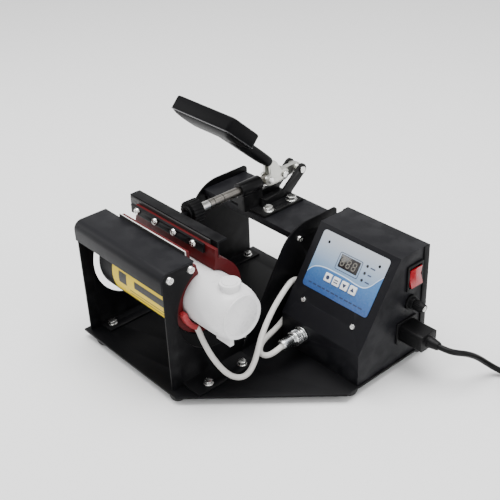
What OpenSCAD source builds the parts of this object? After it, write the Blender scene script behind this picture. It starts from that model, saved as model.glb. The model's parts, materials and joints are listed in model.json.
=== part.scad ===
// Mug heat press: a sheet-metal stand holds a wrap-round silicone heater,
// a push clamp on a rear bridge closes it, and a control box feeds it.
// X runs along the heater's axis, the operator stands at -Y, and Z is up.

/* [Base] */
// Height of the rubber feet
foot_h = 8; // [6:0.5:14]
// Radius of the rubber feet
foot_r = 9; // [6:0.5:12]
// Thickness of the base plate
base_t = 2.5; // [1.5:0.5:4]
// Depth of the base plate behind the stand's front face
base_d = 262; // [250:1:330]
// Thickness of the frame's sheet metal
sheet_t = 2; // [1.5:0.5:3]

/* [Stand] */
// Outside width of the heater stand
stand_w = 157; // [120:1:210]
// Height of the heater stand above the base
stand_h = 145; // [140:1:180]
// Depth of the stand's top cover
cover_d = 41; // [38:1:50]
// Height of the cover's front lip
lip_h = 23; // [12:1:30]
// Radius of the round cut-out in the stand's cheeks
cutout_r = 56; // [52:1:60]

/* [Heater] */
// Radius of the cup that the heater wraps
cup_r = 30; // [24:0.5:33]
// Length of the cup
cup_l = 96; // [70:1:120]
// Wall of the cup
cup_wall = 3.5; // [2:0.5:5]
// How far the cup stands out of the stand
cup_out = 53; // [30:1:60]
// Clearance round the cup
cup_gap = 0.9; // [0.2:0.1:1]
// Thickness of the silicone heater band
band_t = 12.5; // [10:0.5:13.5]
// Height of the heater's axis above the base
heater_z = 94; // [88:1:104]
// Depth of the heater's axis behind the stand's front face
heater_y = 57; // [54:1:64]

/* [Clamp] */
// Height of the plunger's axis above the base
plunger_z = 146; // [144:0.5:150]
// Radius of the plunger
plunger_r = 5.2; // [4:0.1:6.5]
// Radial running clearance of shafts and pins
run_gap = 0.06; // [0.03:0.01:0.1]
// Distance between the clamp's linkage pivots
link_l = 23; // [21:0.5:26]
// Radius of the pressure knob
knob_r = 13.5; // [10:0.5:16]
// Tilt of the handle above level
handle_tilt = 42.5; // [30:0.5:60]
// Width of the handle's grip
grip_w = 97; // [60:1:120]
// Depth of the handle's grip
grip_d = 47; // [36:1:70]
// Thickness of the handle's grip
grip_t = 16; // [12:0.5:22]

/* [Bridge] */
// Outside width of the rear bridge
bridge_w = 158; // [130:1:166]
// Height of the bridge's cheeks above the base
bridge_h = 125; // [115:1:150]
// Height of the bridge's plate above the base
plate_z = 117; // [110:0.5:121]

/* [Control box] */
// Width of the control box
box_w = 115; // [108:1:150]
// Height of the control box above the base
box_h = 131; // [126:1:160]
// Depth of the control box's top
box_top_d = 43.5; // [40:0.5:60]
// Depth of the control box's foot
box_foot_d = 105; // [95:1:120]
// Height of the box's upright lower front
box_sill = 39; // [36:1:46]
// Thickness of the box's sheet metal
box_t = 1.5; // [1:0.25:2.5]
// Width of the control panel
panel_w = 95; // [88:1:100]
// Height of the control panel along the sloping face
panel_l = 66; // [62:1:70]
// Side of the square keys
key_s = 9.5; // [7:0.5:10]

/* [Mains lead] */
// Diameter of the mains cord
cord_d = 6.6; // [5:0.2:8]
// Diameter of the heater's cable
cable_d = 6.4; // [5:0.2:7]

/* [Hidden] */
$fn = 64;
eps = 0.01;

// Base plate
base_top = foot_h + base_t;
base_front = -5;
base_left = -6;
box_x0 = 173.5;
box_x1 = box_x0 + box_w;
base_right = box_x1 + 2;
base_corner_x = stand_w + 11;
base_corner_y = 128;
foot_in = foot_r + 1;
FEET = [[base_left + 26, base_front + foot_in], [stand_w + 2, base_front + foot_in],
    [base_right - foot_in, base_corner_y + 14], [base_right - foot_in, base_d - foot_in],
    [base_left + 28, base_d - foot_in]];
bolt_r = 2.5;
bolt_head_r = 4.8;
bolt_head_h = 3.4;

// Stand
heater_h = base_top + heater_z;
stand_top = base_top + stand_h;
cutout_y = 71;
cutout_z = base_top + 82.5;
bend_r = 8;
jaw_d = 108;
flange_w = 20;
right_flange_w = 30;
flange_y0 = 14;
flange_y1 = 96;
cover_tab = 18;
cover_rear_h = 9.5;
fixed_screw_z = stand_top - 5.2;
screw_r = 2;
screw_head_r = 4.6;
COVER_SCREWS = [[9, stand_top - 9.5], [36, stand_top - 8.5]];

// Heater band
band_in = cup_r + cup_gap;
band_out = band_in + band_t;
shell_gap = 0.3;
shell_t = 1.5;
shell_in = band_out + shell_gap;
shell_out = shell_in + shell_t;
band_x0 = 20;
band_x1 = stand_w + 2;
fixed_x1 = stand_w - 2 * sheet_t - 0.4;
shell_x1 = fixed_x1;
split_gap = 1;
tail_t = 4;
tail_z0 = heater_h + 36;
tail_top = stand_top + 2;
fixed_tail_y = cover_d + 2.3;
moving_tail_y = heater_y + 10.5;
insul_t = 2;
insul_x0 = 27;
insul_x1 = 142;
BAND_SCREWS = [34, 68, 102, 136];
cup_round = 22;
cup_end_r = 22;
boot_l = 8;
boot_t = 7;

// Moving rail
rail_x0 = 2;
rail_x1 = 155;
rail_y = moving_tail_y + tail_t + insul_t + 0.6;
rail_d = 13;
rail_z0 = stand_top - 9.5;
strip_t = 3;
strip_y = moving_tail_y - strip_t - 0.2;
strip_z0 = stand_top - 7;
strip_z1 = stand_top + 3;
RAIL_SCREWS = [27.5, 60.5, 93.5, 126.5];
rail_screw_z = (strip_z0 + strip_z1) / 2;

// Clamp
clamp_x = 76.5;
axis_z = base_top + plunger_z;
ear_y = 262;
link_y = ear_y - link_l;
toggle_y = link_y - link_l;
barrel_y0 = 172;
barrel_y1 = 203;
barrel_r = plunger_r + 3.4;
plunger_y0 = 117;
knob_y0 = 98;
knob_y1 = 112;
flange_t = 3;
clamp_w = 60;
clamp_y0 = 184;
clamp_y1 = 246;
clamp_z = base_top + plate_z;
tang_t = 6;
plate_t = 3;
side_gap = 0.3;
pin_r = 2.5;
eye_r = 7;
link_eye_r = 6.2;
stud_r = 3;
collar_r = stud_r + 0.8;
collar_gap = 0.2;
rail_top = axis_z + collar_r + collar_gap + sheet_t;
ear_x0 = tang_t / 2 + side_gap + plate_t + 2.6;
arm_r = 5.5;
arm_y = 222;
arm_z = axis_z + 17;
CLAMP_BOLTS = [[-22, clamp_y0 + 13], [22, clamp_y0 + 13],
    [-22, clamp_y1 - 12], [22, clamp_y1 - 12]];

// Bridge
bridge_x0 = base_left + 3;
bridge_x1 = bridge_x0 + bridge_w;
bridge_top = base_top + bridge_h;
bridge_rear = 252.5;
bridge_foot_y = 101;
bridge_rake = 32;
bridge_r = 47;
plate_y0 = 182;
plate_y1 = 250;
plate_lip = 8;

// Bolts through the base plate
BASE_BOLTS = [[11, 24], [11, 84], [stand_w + 19, 34], [stand_w + 19, 82],
    [bridge_x0 + 11, 116], [bridge_x0 + 11, 240], [bridge_x1 - 11, 116],
    [bridge_x1 - 11, 240]];
base_bolt_l = sheet_t + base_t + 3;

// Control box
box_rear = 251;
box_front = box_rear - box_foot_d;
box_top_y = box_rear - box_top_d;
box_top = base_top + box_h;
sill_z = base_top + box_sill;
slope = atan2(box_top - sill_z, box_top_y - box_front);
box_cx = (box_x0 + box_x1) / 2;
panel_t = 0.6;
panel_s = 38.5;
display_s = 29.3;
display_w = 27;
display_l = 14;
display_x = 0.8;
KEY_X = [-17.4, -5.4, 6.6, 18.4];
key_down_s = 52;
key_gap = 0.25;
key_rise = 1.2;
key_depth = 6;
board_drop = 11;
board_t = 1.6;
PANEL_SCREWS = [[-36.4, 86.5], [36.4, 86.5]];
BOARD_STUDS = [[-35.2, 16.6], [37.4, 16.6]];
LED_S = [22, 30, 38];
led_x = 23.3;

// Right-hand side of the box
switch_y = 230.5;
switch_z = base_top + 101;
switch_w = 25;
switch_l = 31;
fuse_y = 226;
fuse_z = base_top + 70;
fuse_r = 6.4;
fuse_cap_r = 6;
fuse_out = 20;
inlet_y = 221;
inlet_z = base_top + 37;
connector_w = 26;
connector_h = 20;
connector_l = 30;
relief_l = 14;

// Heater socket on the lower front
socket_x = 205.5;
socket_z = base_top + 25;
socket_r = 7;
ring_r = 8.8;
ring_y0 = box_front - 14;
ring_l = 10;
body_y0 = box_front - 34;

// Model origin: middle of the press, on the surface that it stands on
fuse_tip_x = box_x1 + fuse_out;
origin_x = (base_left + fuse_tip_x) / 2;
origin_y = (base_front + ear_y + eye_r) / 2;

// Routes of the free cords, in the press's own frame
CABLE = [[157, 38, 75], [158.5, 39.5, 70], [162, 40, 62], [168, 40.5, 53], [175, 42, 43],
    [183, 45.5, 32], [191, 50.5, 23], [198, 58, 18.5], [202, 67, 20], [202, 76, 28],
    [199, 85, 39], [192, 98, 52], [180, 125, 65], [170, 155, 75], [165, 171, 77],
    [163, 183, 71], [163, 187, 60], [163, 180, 47], [164, 166, 36], [168, 148, 29],
    [176, 125, 31], [182, 110, 34], [187, 99, 33], [194, 93, 30], [201, 96, 29],
    [205, 105, 32], [205.5, 116, 35.5]];
CORD = [[341, 221.5, 47.4], [348, 224, 46.5], [353, 230, 44.5], [356, 239, 40.5],
    [358, 249, 34], [360, 259, 26], [363, 268, 17], [369, 276, 9], [378, 281.5, 4.6],
    [389, 282.5, 3.5], [401, 278, 3.4], [412, 269, 3.4], [420, 262, 3.4]];
TAIL = [[471.5, 301, 23.4], [476.5, 314, 21.5], [480, 329, 16.5], [478, 342, 12.8],
    [472, 353, 12], [467, 358.6, 12], [461, 361, 12]];
coil_x = 428;
coil_y = 300;
coil_r = 38;
coil_w = 16;
coil_h = 22;
plug_x = 460.5;
plug_y = 361;

// ---------- shared shapes ----------

// Puts a piece drawn in the press's own frame at the model's origin
module placed() {
    translate([-origin_x, -origin_y, 0]) children();
}

// Extrudes an outline drawn in depth and height along the width
module along_x(x0, len) {
    translate([x0, 0, 0]) rotate([90, 0, 90]) linear_extrude(len) children();
}

// A round bar along X
module bar_x(x0, len, y, z, r) {
    along_x(x0, len) translate([y, z]) circle(r);
}

// A round bar along Y
module bar_y(y0, len, x, z, r, r2 = -1) {
    translate([x, y0, z]) rotate([-90, 0, 0])
        cylinder(h = len, r1 = r, r2 = r2 < 0 ? r : r2);
}

// A box from one corner to the other
module block(a, b) {
    translate(a) cube(b - a);
}

// An outline that joins two round ends
module link_outline(p, q, r) {
    d = (q - p) / norm(q - p);
    n = [-d[1], d[0]] * (r - eps);
    translate(p) circle(r);
    translate(q) circle(r);
    polygon([p + n, q + n, q - n, p - n]);
}

// A rectangle with round corners, centred
module round_rect(w, l, r) {
    square([w - 2 * r, l], center = true);
    square([w, l - 2 * r], center = true);
    for (x = [-1, 1], y = [-1, 1])
        translate([x * (w / 2 - r), y * (l / 2 - r)]) circle(r);
}

// Part of a ring round the heater's axis, between two angles under 180 degrees apart
module ring_part(r_in, r_out, a0, a1) {
    far = 3 * r_out;
    intersection() {
        difference() {
            circle(r_out);
            circle(r_in);
        }
        polygon([[0, 0], for (i = [0:4]) let (a = a0 + (a1 - a0) * i / 4) far * [cos(a), sin(a)]]);
    }
}

// Stands a piece on the sloping panel: x from its middle, y up the slope, z out of it
module on_slope(x, s, z = 0) {
    translate([box_cx, box_top_y, box_top]) rotate([slope, 0, 0]) translate([x, -s, z]) children();
}

// A tube with round ends cut square, swept along a route
module tube(route, d, sides) {
    last = len(route) - 1;
    dirs = [for (i = [0:last]) let (a = route[max(i - 1, 0)], b = route[min(i + 1, last)])
        (b - a) / norm(b - a)];
    up = [for (t = dirs) let (c = cross(t, abs(t[2]) > 0.9 ? [1, 0, 0] : [0, 0, 1])) c / norm(c)];
    points = [for (i = [0:last], k = [0:sides - 1])
        let (a = 360 * k / sides, v = cross(dirs[i], up[i]))
        route[i] + (up[i] * cos(a) + v * sin(a)) * d / 2];
    walls = [for (i = [0:last - 1], k = [0:sides - 1])
        let (n = (k + 1) % sides)
        [i * sides + k, i * sides + n, (i + 1) * sides + n, (i + 1) * sides + k]];
    caps = [[for (k = [sides - 1:-1:0]) k], [for (k = [0:sides - 1]) last * sides + k]];
    polyhedron(points, concat(walls, caps));
}

// Rounds a route by cutting each corner twice, which keeps its two ends
function cut_corners(p) = [p[0], for (i = [0:len(p) - 2])
    each [p[i] * 0.75 + p[i + 1] * 0.25, p[i] * 0.25 + p[i + 1] * 0.75], p[len(p) - 1]];

// A pan-head screw whose head sits on z = 0 and points up
module pan_screw(head_r, head_h, shank_r, shank_l) {
    difference() {
        cylinder(h = head_h, r1 = head_r, r2 = head_r * 0.8);
        for (a = [0, 90]) rotate([0, 0, a])
            translate([-head_r * 0.55, -0.4, head_h - 1]) cube([head_r * 1.1, 0.8, 2]);
    }
    translate([0, 0, -shank_l]) cylinder(h = shank_l, r = shank_r);
}

// A hexagon-head bolt with a washer, standing on z = 0
module hex_bolt(head_r, head_h, shank_r, shank_l) {
    cylinder(h = 1, r = head_r * 1.2);
    translate([0, 0, 1]) cylinder(h = head_h, r = head_r, $fn = 6);
    translate([0, 0, -shank_l]) cylinder(h = shank_l, r = shank_r);
}

// ---------- base ----------

module base_outline() {
    polygon([[base_left, base_front], [base_corner_x, base_front],
        [base_right, base_corner_y], [base_right, base_d], [base_left, base_d]]);
}

module base_plate() {
    color("#1c1c1e") difference() {
        translate([0, 0, foot_h]) linear_extrude(base_t) base_outline();
        for (p = BASE_BOLTS) translate([p[0], p[1], 0]) cylinder(h = base_top + 1, r = bolt_r + 0.2);
    }
}

module rubber_feet() {
    color("#111111") for (p = FEET) translate([p[0], p[1], 0]) {
        cylinder(h = foot_h / 2, r1 = foot_r * 0.8, r2 = foot_r);
        translate([0, 0, foot_h / 2]) cylinder(h = foot_h / 2, r = foot_r);
    }
}

module base_bolts() {
    color("#d8d8d8") for (p = BASE_BOLTS) translate([p[0], p[1], base_top + sheet_t]) {
        hex_bolt(bolt_head_r, bolt_head_h, bolt_r, base_bolt_l);
    }
}

// ---------- stand ----------

module cheek_outline() {
    difference() {
        union() {
            polygon([[0, base_top], [100, base_top], [jaw_d, base_top + 34], [jaw_d, cutout_z],
                [cover_d - sheet_t, cutout_z], [cover_d - sheet_t, stand_top - sheet_t],
                [bend_r, stand_top - sheet_t], [0, stand_top - sheet_t - bend_r]]);
            translate([bend_r, stand_top - sheet_t - bend_r]) circle(bend_r);
        }
        translate([cutout_y, cutout_z]) circle(cutout_r);
        polygon([[cutout_y, cutout_z - 2], [jaw_d + 1, cutout_z - 46], [jaw_d + 1, cutout_z + 1],
            [cutout_y, cutout_z + 1]]);
    }
}

module stand_cheek(x0, foot_x1) {
    along_x(x0, sheet_t) cheek_outline();
    block([x0, flange_y0, base_top], [foot_x1, flange_y1, base_top + sheet_t]);
}

module cheek_holes(x0) {
    for (s = COVER_SCREWS) bar_x(x0 - 1, sheet_t + 2, s[0], s[1], screw_r + 0.15);
    for (p = BASE_BOLTS) translate([p[0], p[1], 0]) cylinder(h = base_top + 5, r = bolt_r + 0.2);
}

module stand_left_cheek() {
    color("#1c1c1e") difference() {
        stand_cheek(0, flange_w + sheet_t);
        cheek_holes(0);
    }
}

module stand_right_cheek() {
    x0 = stand_w - sheet_t;
    color("#1c1c1e") difference() {
        stand_cheek(x0, x0 + right_flange_w);
        cheek_holes(x0);
    }
}

module cover_outline() {
    r_out = bend_r + sheet_t;
    z_in = stand_top - sheet_t;
    translate([-sheet_t, stand_top - lip_h]) square([sheet_t, lip_h - r_out]);
    translate([bend_r, z_in]) square([cover_d - bend_r, sheet_t]);
    intersection() {
        translate([bend_r, z_in - bend_r]) difference() {
            circle(r_out);
            circle(bend_r);
        }
        translate([-sheet_t, z_in - bend_r]) square([r_out, r_out]);
    }
}

module stand_top_cover() {
    color("#28282b") difference() {
        union() {
            along_x(0, stand_w) cover_outline();
            block([sheet_t, cover_d - sheet_t, stand_top - cover_rear_h],
                [stand_w - sheet_t, cover_d, stand_top - 1]);
            for (x = [sheet_t, stand_w - 2 * sheet_t]) block([x, 3, stand_top - cover_tab],
                [x + sheet_t, cover_d - sheet_t - 1, stand_top - sheet_t + eps]);
        }
        for (s = COVER_SCREWS) bar_x(-1, stand_w + 2, s[0], s[1], screw_r + 0.15);
        for (x = BAND_SCREWS) bar_y(cover_d - 4, 6, x, fixed_screw_z, screw_r + 0.15);
    }
}

module stand_screws() {
    color("#dcdcdc") for (s = COVER_SCREWS) {
        translate([stand_w, s[0], s[1]]) rotate([0, 90, 0])
            pan_screw(screw_head_r, 2.4, screw_r, 7);
        translate([0, s[0], s[1]]) rotate([0, -90, 0])
            pan_screw(screw_head_r, 2.4, screw_r, 7);
    }
}

// ---------- heater ----------

module at_heater() {
    translate([heater_y, heater_z + base_top]) children();
}

module heater_shell() {
    color("#17171a") along_x(band_x0, shell_x1 - band_x0) {
        at_heater() ring_part(shell_in, shell_out, 128, 268);
    }
}

module blank_label() {
    color("#e8c21c") along_x(46, 102) at_heater()
        ring_part(shell_out, shell_out + 0.3, 150, 206);
}

module fixed_insulator() {
    color("#f2f2ee") difference() {
        block([insul_x0, cover_d, stand_top - cover_rear_h],
            [insul_x1, cover_d + insul_t, stand_top + 3.5]);
        for (x = BAND_SCREWS) bar_y(cover_d - 4, 8, x, fixed_screw_z, screw_r + 0.15);
    }
}

module fixed_screws() {
    color("#cfcfcf") for (x = BAND_SCREWS) translate([x, fixed_tail_y + tail_t, fixed_screw_z])
        rotate([-90, 0, 0]) pan_screw(3.2, 1.8, screw_r, 11);
}

module heater_band_fixed() {
    gap_a = split_gap / 2 / band_in * 180 / PI;
    color("#a3201c") difference() {
        union() {
            along_x(band_x0, fixed_x1 - band_x0)
                at_heater() ring_part(band_in, band_out, 104, 270 - gap_a);
            block([insul_x0, fixed_tail_y, tail_z0], [insul_x1, fixed_tail_y + tail_t, tail_top]);
        }
        for (x = BAND_SCREWS)
            bar_y(fixed_tail_y - 1, tail_t + 2, x, fixed_screw_z, screw_r + 0.15);
    }
}

module heater_band_moving() {
    gap_a = split_gap / 2 / band_in * 180 / PI;
    color("#b3241f") difference() {
        union() {
            along_x(band_x0, band_x1 - band_x0)
                at_heater() ring_part(band_in, band_out, -90 + gap_a, 76);
            block([band_x0, moving_tail_y, tail_z0], [band_x1, moving_tail_y + tail_t, tail_top]);
        }
        for (x = RAIL_SCREWS)
            bar_y(moving_tail_y - 1, tail_t + 2, x, rail_screw_z, screw_r + 0.15);
    }
}

module band_lead_boot() {
    color("#d8563f") along_x(fixed_x1, boot_l)
        at_heater() ring_part(band_in + cup_gap, band_in + boot_t, 188, 236);
}

// ---------- moving rail ----------

module pressure_rail() {
    color("#2a2a2c") difference() {
        along_x(rail_x0, rail_x1 - rail_x0) {
            translate([rail_y, rail_z0]) square([sheet_t, rail_top - rail_z0]);
            translate([rail_y, rail_top - sheet_t]) square([rail_d, sheet_t]);
        }
        for (x = RAIL_SCREWS) bar_y(rail_y - 1, 4, x, rail_screw_z, screw_r + 0.15);
        bar_y(rail_y - 1, 4, clamp_x, axis_z, stud_r + 0.15);
    }
}

module rail_clamp_strip() {
    color("#1a1a1c") difference() {
        block([rail_x0 + 14, strip_y, strip_z0], [rail_x1 - 12, strip_y + strip_t, strip_z1]);
        for (x = RAIL_SCREWS) bar_y(strip_y - 1, strip_t + 2, x, rail_screw_z, screw_r + 0.15);
    }
}

module rail_screws() {
    color("#dcdcdc") for (x = RAIL_SCREWS) translate([x, strip_y, rail_screw_z])
        rotate([90, 0, 0]) pan_screw(4.2, 2.2, screw_r, 14);
}

module rail_insulator() {
    y0 = moving_tail_y + tail_t + 0.3;
    color("#efeee8") difference() {
        block([rail_x0 + 3, y0, stand_top - 9], [rail_x1 - 10, y0 + insul_t, rail_top - 1]);
        for (x = RAIL_SCREWS) bar_y(y0 - 1, insul_t + 2, x, rail_screw_z, screw_r + 0.15);
    }
}

// Angle that carries the rail, with the stud that the knob turns on
module rail_bracket() {
    y0 = rail_y + sheet_t;
    bracket_w = 24;
    bracket_t = 3;
    color("#3a3a3d") {
        block([clamp_x - bracket_w / 2, y0, rail_z0],
            [clamp_x + bracket_w / 2, y0 + bracket_t, rail_top - sheet_t - 0.3]);
        bar_y(y0 + bracket_t, 4, clamp_x, axis_z, collar_r);
        bar_y(y0 - sheet_t, plunger_y0 + 6 - y0, clamp_x, axis_z, stud_r);
    }
}

// ---------- clamp ----------

module clamp_body() {
    color("#141416") translate([clamp_x, 0, 0]) difference() {
        union() {
            difference() {
                block([-clamp_w / 2, clamp_y0, clamp_z], [clamp_w / 2, clamp_y1, clamp_z + flange_t]);
                for (b = CLAMP_BOLTS) translate([b[0], b[1], clamp_z - 1])
                    cylinder(h = flange_t + 2, r = 3.2);
            }
            bar_y(barrel_y0, barrel_y1 - barrel_y0, 0, axis_z, barrel_r);
            block([-6, barrel_y0 + 3, clamp_z + flange_t - 0.5], [6, barrel_y1, axis_z - barrel_r + 3]);
            for (x0 = [ear_x0, -ear_x0 - plate_t]) {
                along_x(x0, plate_t) link_outline([clamp_y1 - 12, clamp_z + 6], [ear_y, axis_z], eye_r);
                along_x(x0, plate_t) polygon([[barrel_y1 - 6, clamp_z + flange_t - 0.5],
                    [clamp_y1 - 2, clamp_z + flange_t - 0.5], [clamp_y1 + 2, clamp_z + 14],
                    [barrel_y1 + 2, clamp_z + 9], [barrel_y1 - 6, clamp_z + 14]]);
            }
        }
        bar_y(barrel_y0 - 1, barrel_y1 - barrel_y0 + 2, 0, axis_z, plunger_r + run_gap);
        bar_x(-30, 60, ear_y, axis_z, pin_r + run_gap);
        block([-30, 150, 0], [30, 300, clamp_z]);
    }
}

module clamp_bolts() {
    color("#e2e2e2") for (b = CLAMP_BOLTS)
        translate([clamp_x + b[0], b[1], clamp_z + flange_t]) hex_bolt(5.8, 4, 3, 12);
}

module plunger() {
    nut_r = 4.4;
    color("#cfcfcf") translate([clamp_x, 0, 0]) difference() {
        union() {
            bar_y(plunger_y0, barrel_y1 + 2 - plunger_y0, 0, axis_z, plunger_r);
            bar_y(plunger_y0 - 4, 4, 0, axis_z, nut_r);
            bar_x(-tang_t / 2, tang_t, toggle_y, axis_z, 5);
            block([-tang_t / 2, barrel_y1 + 1, axis_z - 4.1], [tang_t / 2, toggle_y, axis_z + 4.1]);
        }
        bar_x(-10, 20, toggle_y, axis_z, pin_r + run_gap);
        bar_y(plunger_y0 - 5, 13, 0, axis_z, stud_r + run_gap);
    }
}

module pressure_knob() {
    flutes = 20;
    color("#101012") difference() {
        union() {
            bar_y(knob_y0, knob_y1 - knob_y0, clamp_x, axis_z, knob_r);
            bar_y(knob_y0 - 2, 3, clamp_x, axis_z, knob_r * 0.6);
        }
        bar_y(knob_y0 - 3, knob_y1 - knob_y0 + 4, clamp_x, axis_z, stud_r + run_gap);
        for (i = [0:flutes - 1]) let (a = 360 * (i + 0.5) / flutes)
            bar_y(knob_y0 - 1, knob_y1 - knob_y0 + 2, clamp_x + (knob_r + 0.6) * cos(a),
                axis_z + (knob_r + 0.6) * sin(a), 1.4);
    }
}

module rivet(half, y, z) {
    bar_x(clamp_x - half - 1.5, 2 * half + 3, y, z, pin_r);
    bar_x(clamp_x + half + 0.2, 1.8, y, z, pin_r + 1.6);
    bar_x(clamp_x - half - 2, 1.8, y, z, pin_r + 1.6);
}

module plunger_pin() {
    color("#dadada") rivet(tang_t / 2 + side_gap + plate_t, toggle_y, axis_z);
}

module link_pin() {
    color("#dadada") rivet(tang_t / 2 + side_gap + plate_t, link_y, axis_z);
}

module ear_pin() {
    color("#dadada") rivet(ear_x0 + plate_t, ear_y, axis_z);
}

// The link's front eye is a slot, because this is where the linkage is opened
module toggle_link() {
    slot_l = 4.5;
    slot_r = pin_r + 2.1;
    spacer = ear_x0 - 0.3;
    color("#bfc2c6") difference() {
        union() {
            along_x(clamp_x - tang_t / 2, tang_t)
                link_outline([link_y, axis_z], [ear_y, axis_z], link_eye_r);
            bar_x(clamp_x - spacer, 2 * spacer, ear_y, axis_z, 5);
        }
        bar_x(clamp_x - spacer - 1, 2 * spacer + 2, ear_y, axis_z, pin_r + run_gap);
        along_x(clamp_x - tang_t, 2 * tang_t)
            link_outline([link_y - 0.3, axis_z], [link_y + slot_l, axis_z], slot_r);
    }
}

// Frame of the handle: x along the press, y along the arm, z square to it
module on_arm(along, rise = 0) {
    translate([clamp_x, arm_y, arm_z]) rotate([180 - handle_tilt, 0, 0]) mirror([0, 0, 1])
        translate([0, along, rise]) children();
}

module handle_arm() {
    inner = tang_t / 2 + side_gap;
    color("#c4c6c9") {
        difference() {
            for (x0 = [inner, -inner - plate_t]) along_x(clamp_x + x0, plate_t) {
                link_outline([toggle_y, axis_z], [link_y, axis_z], eye_r);
                link_outline([link_y - 9, axis_z + 3], [arm_y, arm_z], arm_r);
                link_outline([toggle_y + 6, axis_z + 1], [arm_y, arm_z], arm_r);
            }
            for (y = [toggle_y, link_y]) bar_x(clamp_x - 20, 40, y, axis_z, pin_r + run_gap);
        }
        on_arm(0) block([-inner - plate_t, 0, -2.5], [inner + plate_t, 68, 2.5]);
    }
}

module handle_grip() {
    pocket = tang_t / 2 + side_gap + plate_t + 0.2;
    neck_w = 22;
    neck_t = 13;
    paddle_u = 87.5;
    paddle_rise = -3.4;
    paddle_r = 8;
    pillow_t = 5;
    pillow_share = 0.8;
    color("#0f0f11") difference() {
        union() {
            on_arm(0) block([-neck_w / 2, 7, -neck_t / 2], [neck_w / 2, paddle_u + 4, neck_t / 2]);
            on_arm(paddle_u + grip_d / 2, paddle_rise) linear_extrude(grip_t)
                round_rect(grip_w, grip_d, paddle_r);
            on_arm(paddle_u + grip_d / 2, paddle_rise - pillow_t)
                linear_extrude(height = pillow_t + eps, scale = 1 / pillow_share)
                    round_rect(grip_w * pillow_share, grip_d * pillow_share, paddle_r * pillow_share);
        }
        on_arm(0) block([-pocket, -1, -2.7], [pocket, 68.5, 2.7]);
    }
}

// ---------- bridge ----------

module bridge_outline() {
    corner_r = 5;
    meet_y = bridge_foot_y + bridge_h * tan(bridge_rake);
    reach = bridge_r * tan((90 - bridge_rake) / 2);
    polygon([[bridge_foot_y, base_top],
        [meet_y - reach * sin(bridge_rake), bridge_top - reach * cos(bridge_rake)],
        [meet_y + reach, bridge_top], [bridge_rear - corner_r, bridge_top],
        [bridge_rear, bridge_top - corner_r], [bridge_rear, base_top]]);
    translate([meet_y + reach, bridge_top - bridge_r]) circle(bridge_r);
    translate([bridge_rear - corner_r, bridge_top - corner_r]) circle(corner_r);
}

module bridge_cheek(x0, flange_x0) {
    color("#1b1b1d") difference() {
        union() {
            along_x(x0, sheet_t) bridge_outline();
            block([flange_x0, bridge_foot_y + 5, base_top],
                [flange_x0 + flange_w, bridge_rear, base_top + sheet_t]);
        }
        for (p = BASE_BOLTS) translate([p[0], p[1], 0]) cylinder(h = base_top + 5, r = bolt_r + 0.2);
        for (y = [192, 240]) bar_x(x0 - 1, sheet_t + 2, y, clamp_z - 10, screw_r + 0.15);
    }
}

module bridge_left_cheek() {
    bridge_cheek(bridge_x0, bridge_x0);
}

module bridge_right_cheek() {
    bridge_cheek(bridge_x1 - sheet_t, bridge_x1 - flange_w);
}

module bridge_plate() {
    x0 = bridge_x0 + sheet_t;
    x1 = bridge_x1 - sheet_t;
    color("#2b2b2e") difference() {
        union() {
            block([x0, plate_y0, clamp_z - sheet_t], [x1, plate_y1, clamp_z]);
            block([x0, plate_y0, clamp_z - plate_lip], [x1, plate_y0 + sheet_t, clamp_z]);
            for (x = [x0, x1 - sheet_t]) block([x, plate_y0 + 3, clamp_z - 16],
                [x + sheet_t, plate_y1, clamp_z]);
        }
        for (b = CLAMP_BOLTS) translate([clamp_x + b[0], b[1], clamp_z - 9])
            cylinder(h = 10, r = 3.2);
        for (y = [192, 240]) bar_x(x0 - 2, x1 - x0 + 4, y, clamp_z - 10, screw_r + 0.15);
    }
}

module bridge_screws() {
    color("#d0d0d0") for (y = [192, 240]) {
        translate([bridge_x1, y, clamp_z - 10]) rotate([0, 90, 0]) pan_screw(4, 2.2, screw_r, 7);
        translate([bridge_x0, y, clamp_z - 10]) rotate([0, -90, 0]) pan_screw(4, 2.2, screw_r, 7);
    }
}

// ---------- control box ----------

module box_outline(inset) {
    sill_drop = inset * tan((90 - slope) / 2);
    polygon([[box_front + inset, base_top], [box_front + inset, sill_z - sill_drop],
        [box_top_y + inset * tan(slope / 2), box_top - inset], [box_rear, box_top - inset],
        [box_rear, base_top]]);
}

module slope_cut(w, l, r, x, s) {
    on_slope(x, s, -box_t - 2) linear_extrude(box_t + 4) round_rect(w, l, r);
}

module box_shell() {
    color("#222225") difference() {
        along_x(box_x0, box_w) box_outline(0);
        along_x(box_x0 + box_t, box_w - 2 * box_t) translate([0, -eps]) box_outline(box_t);
        slope_cut(display_w + 0.6, display_l + 0.6, 0.5, display_x, display_s);
        for (x = KEY_X) slope_cut(key_s + 2 * key_gap, key_s + 2 * key_gap, 0.8, x, key_down_s);
        for (s = LED_S) on_slope(led_x, s, -5) cylinder(h = 10, r = 1.7);
        for (p = concat(PANEL_SCREWS, BOARD_STUDS)) on_slope(p[0], p[1], -5)
            cylinder(h = 10, r = 1.7);
        bar_y(box_front - 2, box_t + 4, socket_x, socket_z, socket_r + 0.2);
        along_x(box_x1 - 5, 10) translate([switch_y, switch_z])
            square([switch_w - 3, switch_l - 3], center = true);
        bar_x(box_x1 - 5, 10, fuse_y, fuse_z, fuse_r + 0.2);
        along_x(box_x1 - 5, 10) translate([inlet_y, inlet_z]) square([27.4, 20.4], center = true);
    }
}

module box_rear_cover() {
    lap = 7;
    x0 = box_x0 - box_t;
    x1 = box_x1 + box_t;
    color("#1f1f22") {
        block([x0, box_rear, base_top], [x1, box_rear + box_t, box_top]);
        for (x = [x0, box_x1]) block([x, box_rear - lap, base_top], [x + box_t, box_rear, box_top]);
    }
}

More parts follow.
